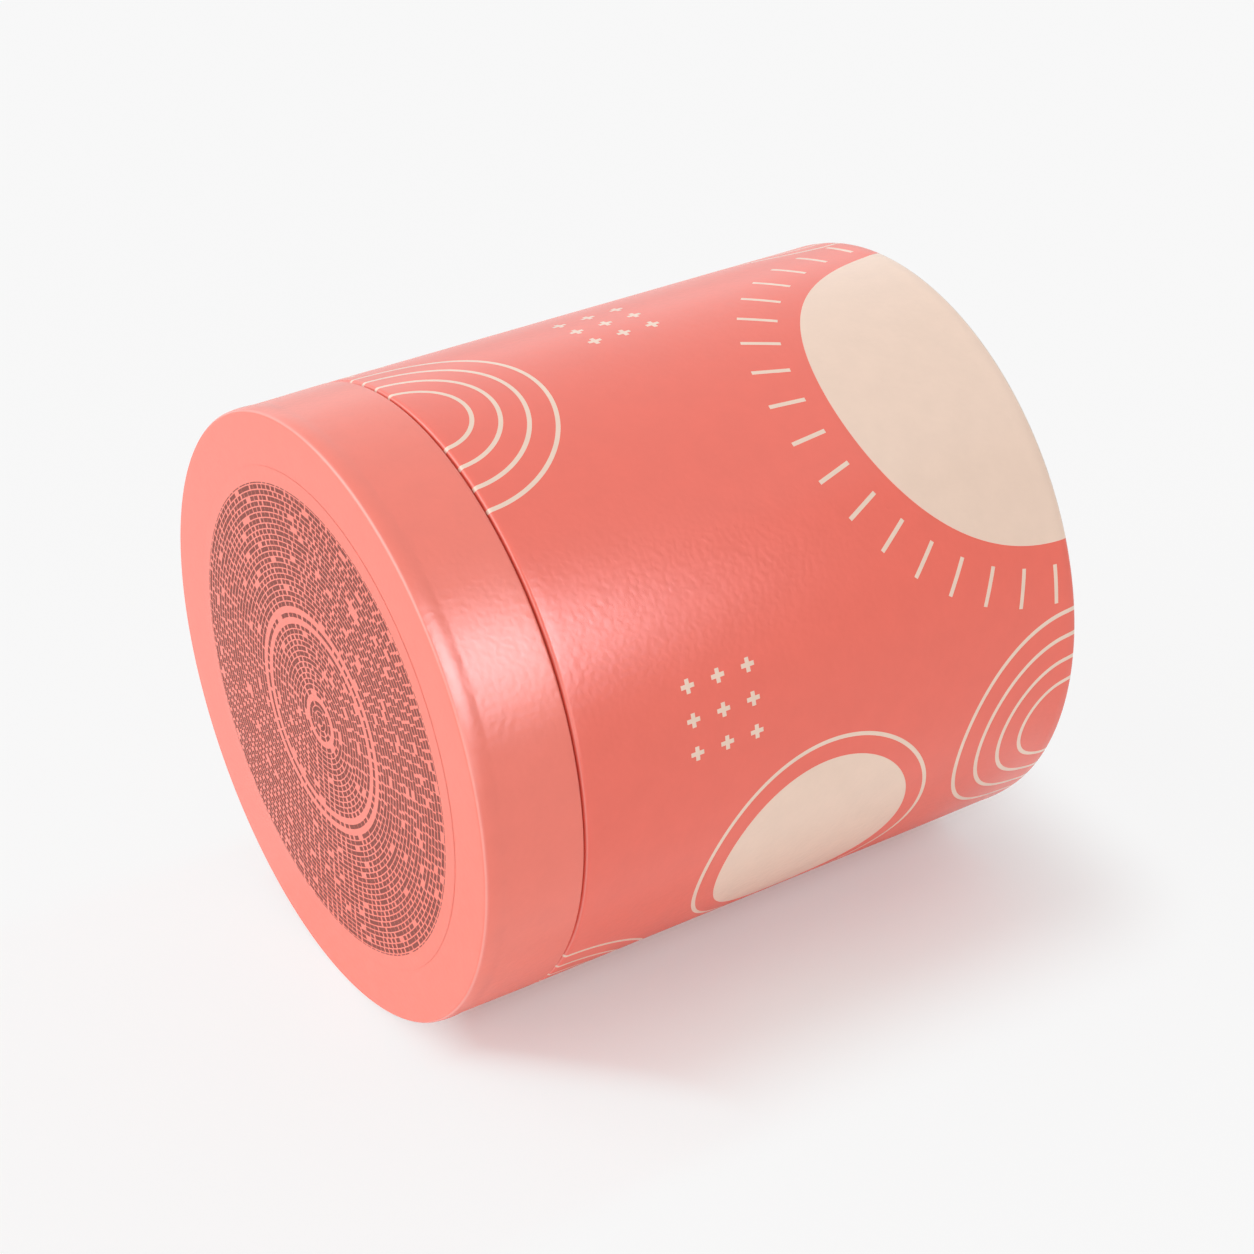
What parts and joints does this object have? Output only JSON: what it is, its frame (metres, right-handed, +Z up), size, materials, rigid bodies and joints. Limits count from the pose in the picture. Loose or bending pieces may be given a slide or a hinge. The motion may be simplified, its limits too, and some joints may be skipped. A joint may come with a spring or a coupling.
{
  "type": "gift tube box",
  "caption": "Cylindrical rigid paper gift tube lying on its side, with a pull-off lid that slides on an inner neck tube and a round cavity for what it holds.",
  "frame": {"origin": "on the floor under the middle of the lying tube, with the lid on", "axes": "+X along the tube's axis from the lid towards the base, +Z up, so that the tube lies on its side with its lid at -X"},
  "size_m": [0.1544, 0.14, 0.14],
  "materials": {
    "printed_paper": "satin",
    "neck_paper": "matte",
    "lining_paper": "matte",
    "greyboard": "matte"
  },
  "bodies": {
    "box": {"body_board": "greyboard", "base_disc": "greyboard", "body_wrap": "printed_paper", "base_face_paper": "printed_paper", "neck_tube": "greyboard", "neck_paper": "neck_paper", "bore_lining": "lining_paper", "base_lining": "lining_paper"},
    "lid": {"lid_board": "greyboard", "lid_disc": "greyboard", "lid_wrap": "printed_paper", "lid_face_paper": "printed_paper", "lid_wall_lining": "lining_paper", "lid_top_lining": "lining_paper"}
  },
  "joints": [
    {"name": "lid_slide", "type": "slide", "parent": "box", "child": "lid", "axis": [-1, 0, 0], "range_m": [0, 0.16]}
  ]
}
